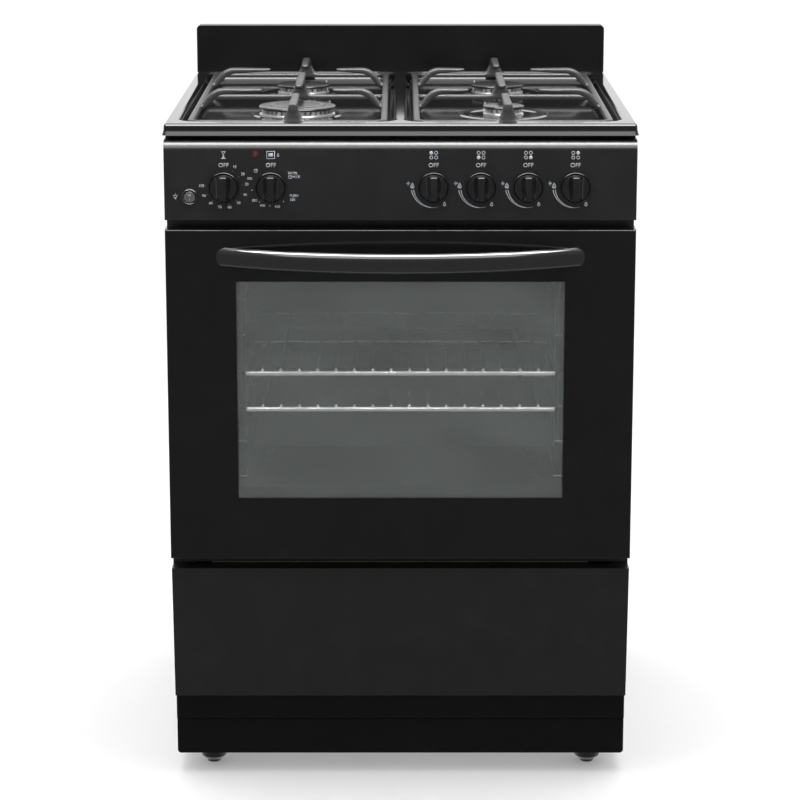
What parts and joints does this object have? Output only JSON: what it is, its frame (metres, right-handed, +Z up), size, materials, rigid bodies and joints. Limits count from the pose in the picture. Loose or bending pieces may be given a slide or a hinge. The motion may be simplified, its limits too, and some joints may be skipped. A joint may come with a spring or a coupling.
{
  "type": "freestanding gas range",
  "caption": "Freestanding gas range: fold-down oven door with window, storage drawer, hob with cast pan grates, control panel with rotary knobs and a low backguard.",
  "frame": {"origin": "on the floor, at the middle of the whole range's outline", "axes": "+Z up, +Y from the door towards the back, +X to the right as seen from the front"},
  "size_m": [0.608, 0.696, 0.965],
  "materials": {
    "enamel_black": "satin black enamel",
    "enamel_gloss": "gloss black enamel",
    "galvanised": "zinc-coated sheet",
    "cast_iron": "satin enamelled cast iron",
    "aluminium": "die cast",
    "cap_enamel": "satin black enamel",
    "liner_enamel": "speckled grey enamel",
    "wool": "mineral wool",
    "chrome": "bright chrome",
    "burner_steel": "aluminised steel",
    "glass": "clear tempered",
    "gasket": "braided seal",
    "gloss_plastic": "gloss black",
    "handle_black": "high gloss black",
    "brass": "machined",
    "steel": "bright steel",
    "pipe_steel": "grey pipe",
    "lamp_red": "translucent red",
    "switch_black": "gloss black",
    "ceramic": "white glazed",
    "foot_black": "moulded",
    "grey_plastic": "moulded"
  },
  "bodies": {
    "cabinet": {"side_panel_left": "enamel_black", "side_panel_right": "enamel_black", "back_panel": "galvanised", "body_screws": "steel", "base_frame": "galvanised", "kick_panel": "enamel_black", "lower_rail": "enamel_black", "hob_top": "enamel_gloss", "backguard": "enamel_black", "control_panel": "enamel_black", "burner_valves": "brass", "oven_thermostat": "brass", "timer_movement": "grey_plastic", "gas_manifold": "pipe_steel", "rocker_frame": "switch_black", "pilot_lamp": "lamp_red", "spark_electrodes": "ceramic", "burner_crowns": "aluminium", "oven_liner": "liner_enamel", "insulation_wrap": "wool", "oven_floor_plate": "liner_enamel", "bake_burner": "burner_steel", "broil_burner": "burner_steel", "rack_ladders": "chrome", "hinge_arms": "steel", "door_gasket": "gasket", "drawer_rails": "galvanised", "cable_gland": "grey_plastic"},
    "door": {"door_outer_panel": "enamel_black", "door_outer_glass": "glass", "door_inner_glass": "glass", "door_liner": "liner_enamel", "door_handle": "handle_black"},
    "drawer": {"drawer_front": "enamel_black", "drawer_tray": "galvanised"},
    "rack_upper": {"rack_upper": "chrome"},
    "rack_lower": {"rack_lower": "chrome"},
    "broiler_pan": {"broiler_pan": "liner_enamel"},
    "grate_left": {"grate_left": "cast_iron"},
    "burner_cap_front_left": {"burner_cap_front_left": "cap_enamel"},
    "burner_cap_rear_left": {"burner_cap_rear_left": "cap_enamel"},
    "grate_right": {"grate_right": "cast_iron"},
    "burner_cap_front_right": {"burner_cap_front_right": "cap_enamel"},
    "burner_cap_rear_right": {"burner_cap_rear_right": "cap_enamel"},
    "knob_timer": {"knob_timer": "gloss_plastic"},
    "spindle_oven": {"spindle_oven": "steel"},
    "knob_oven": {"knob_oven": "gloss_plastic"},
    "spindle_burner_1": {"spindle_burner_1": "steel"},
    "knob_burner_1": {"knob_burner_1": "gloss_plastic"},
    "spindle_burner_2": {"spindle_burner_2": "steel"},
    "knob_burner_2": {"knob_burner_2": "gloss_plastic"},
    "spindle_burner_3": {"spindle_burner_3": "steel"},
    "knob_burner_3": {"knob_burner_3": "gloss_plastic"},
    "spindle_burner_4": {"spindle_burner_4": "steel"},
    "knob_burner_4": {"knob_burner_4": "gloss_plastic"},
    "rocker_switch": {"rocker_switch": "switch_black"},
    "foot_front_left": {"foot_front_left": "foot_black"},
    "foot_front_right": {"foot_front_right": "foot_black"},
    "foot_rear_left": {"foot_rear_left": "foot_black"},
    "foot_rear_right": {"foot_rear_right": "foot_black"}
  },
  "joints": [
    {"name": "door_hinge", "type": "hinge", "parent": "cabinet", "child": "door", "pos_m": [0, -0.276, 0.328], "axis": [1, 0, 0], "range_deg": [0, 90], "stiffness_Nm_per_rad": 6, "springref_deg": -28.65},
    {"name": "drawer_slide", "type": "slide", "parent": "cabinet", "child": "drawer", "axis": [0, -1, 0], "range_m": [0, 0.35]},
    {"name": "rack_upper_slide", "type": "slide", "parent": "cabinet", "child": "rack_upper", "axis": [0, -1, 0], "range_m": [0, 0.22]},
    {"name": "rack_lower_slide", "type": "slide", "parent": "cabinet", "child": "rack_lower", "axis": [0, -1, 0], "range_m": [0, 0.22]},
    {"name": "broiler_pan_slide", "type": "slide", "parent": "rack_lower", "child": "broiler_pan", "axis": [0, -1, 0], "range_m": [-0.02, 0.045]},
    {"name": "grate_left_lift", "type": "slide", "parent": "cabinet", "child": "grate_left", "axis": [0, 0, 1], "range_m": [0, 0.08]},
    {"name": "burner_cap_front_left_lift", "type": "slide", "parent": "cabinet", "child": "burner_cap_front_left", "axis": [0, 0, 1], "range_m": [0, 0.04]},
    {"name": "burner_cap_rear_left_lift", "type": "slide", "parent": "cabinet", "child": "burner_cap_rear_left", "axis": [0, 0, 1], "range_m": [0, 0.04]},
    {"name": "grate_right_lift", "type": "slide", "parent": "cabinet", "child": "grate_right", "axis": [0, 0, 1], "range_m": [0, 0.08]},
    {"name": "burner_cap_front_right_lift", "type": "slide", "parent": "cabinet", "child": "burner_cap_front_right", "axis": [0, 0, 1], "range_m": [0, 0.04]},
    {"name": "burner_cap_rear_right_lift", "type": "slide", "parent": "cabinet", "child": "burner_cap_rear_right", "axis": [0, 0, 1], "range_m": [0, 0.04]},
    {"name": "knob_timer_turn", "type": "hinge", "parent": "cabinet", "child": "knob_timer", "pos_m": [-0.2271, -0.292, 0.817], "axis": [0, 1, 0], "range_deg": [0, 270]},
    {"name": "knob_oven_turn", "type": "hinge", "parent": "cabinet", "child": "spindle_oven", "pos_m": [-0.1664, -0.292, 0.817], "axis": [0, -1, 0], "range_deg": [0, 300]},
    {"name": "knob_oven_push", "type": "slide", "parent": "spindle_oven", "child": "knob_oven", "axis": [0, 1, 0], "range_m": [0, 0.003], "stiffness_N_per_m": 400},
    {"name": "knob_burner_1_turn", "type": "hinge", "parent": "cabinet", "child": "spindle_burner_1", "pos_m": [0.0426, -0.292, 0.817], "axis": [0, -1, 0], "range_deg": [0, 210]},
    {"name": "knob_burner_1_push", "type": "slide", "parent": "spindle_burner_1", "child": "knob_burner_1", "axis": [0, 1, 0], "range_m": [0, 0.003], "stiffness_N_per_m": 400},
    {"name": "knob_burner_2_turn", "type": "hinge", "parent": "cabinet", "child": "spindle_burner_2", "pos_m": [0.1033, -0.292, 0.817], "axis": [0, -1, 0], "range_deg": [0, 210]},
    {"name": "knob_burner_2_push", "type": "slide", "parent": "spindle_burner_2", "child": "knob_burner_2", "axis": [0, 1, 0], "range_m": [0, 0.003], "stiffness_N_per_m": 400},
    {"name": "knob_burner_3_turn", "type": "hinge", "parent": "cabinet", "child": "spindle_burner_3", "pos_m": [0.164, -0.292, 0.817], "axis": [0, -1, 0], "range_deg": [0, 210]},
    {"name": "knob_burner_3_push", "type": "slide", "parent": "spindle_burner_3", "child": "knob_burner_3", "axis": [0, 1, 0], "range_m": [0, 0.003], "stiffness_N_per_m": 400},
    {"name": "knob_burner_4_turn", "type": "hinge", "parent": "cabinet", "child": "spindle_burner_4", "pos_m": [0.2247, -0.292, 0.817], "axis": [0, -1, 0], "range_deg": [0, 210]},
    {"name": "knob_burner_4_push", "type": "slide", "parent": "spindle_burner_4", "child": "knob_burner_4", "axis": [0, 1, 0], "range_m": [0, 0.003], "stiffness_N_per_m": 400},
    {"name": "rocker_switch_tilt", "type": "hinge", "parent": "cabinet", "child": "rocker_switch", "pos_m": [-0.2712, -0.293, 0.8043], "axis": [-1, 0, 0], "range_deg": [0, 12]},
    {"name": "foot_front_left_turn", "type": "hinge", "parent": "cabinet", "child": "foot_front_left", "pos_m": [-0.258, -0.191, 0], "axis": [0, 0, 1], "continuous": true},
    {"name": "foot_front_right_turn", "type": "hinge", "parent": "cabinet", "child": "foot_front_right", "pos_m": [0.258, -0.191, 0], "axis": [0, 0, 1], "continuous": true},
    {"name": "foot_rear_left_turn", "type": "hinge", "parent": "cabinet", "child": "foot_rear_left", "pos_m": [-0.258, 0.282, 0], "axis": [0, 0, 1], "continuous": true},
    {"name": "foot_rear_right_turn", "type": "hinge", "parent": "cabinet", "child": "foot_rear_right", "pos_m": [0.258, 0.282, 0], "axis": [0, 0, 1], "continuous": true}
  ],
  "couplings": [
    {"joint": "rack_upper_slide", "follows": "door_hinge", "m_per_rad": 0.14},
    {"joint": "rack_lower_slide", "follows": "door_hinge", "m_per_rad": 0.14},
    {"joint": "burner_cap_front_left_lift", "follows": "grate_left_lift", "ratio": 0.5},
    {"joint": "burner_cap_rear_left_lift", "follows": "grate_left_lift", "ratio": 0.5},
    {"joint": "burner_cap_front_right_lift", "follows": "grate_right_lift", "ratio": 0.5},
    {"joint": "burner_cap_rear_right_lift", "follows": "grate_right_lift", "ratio": 0.5}
  ]
}
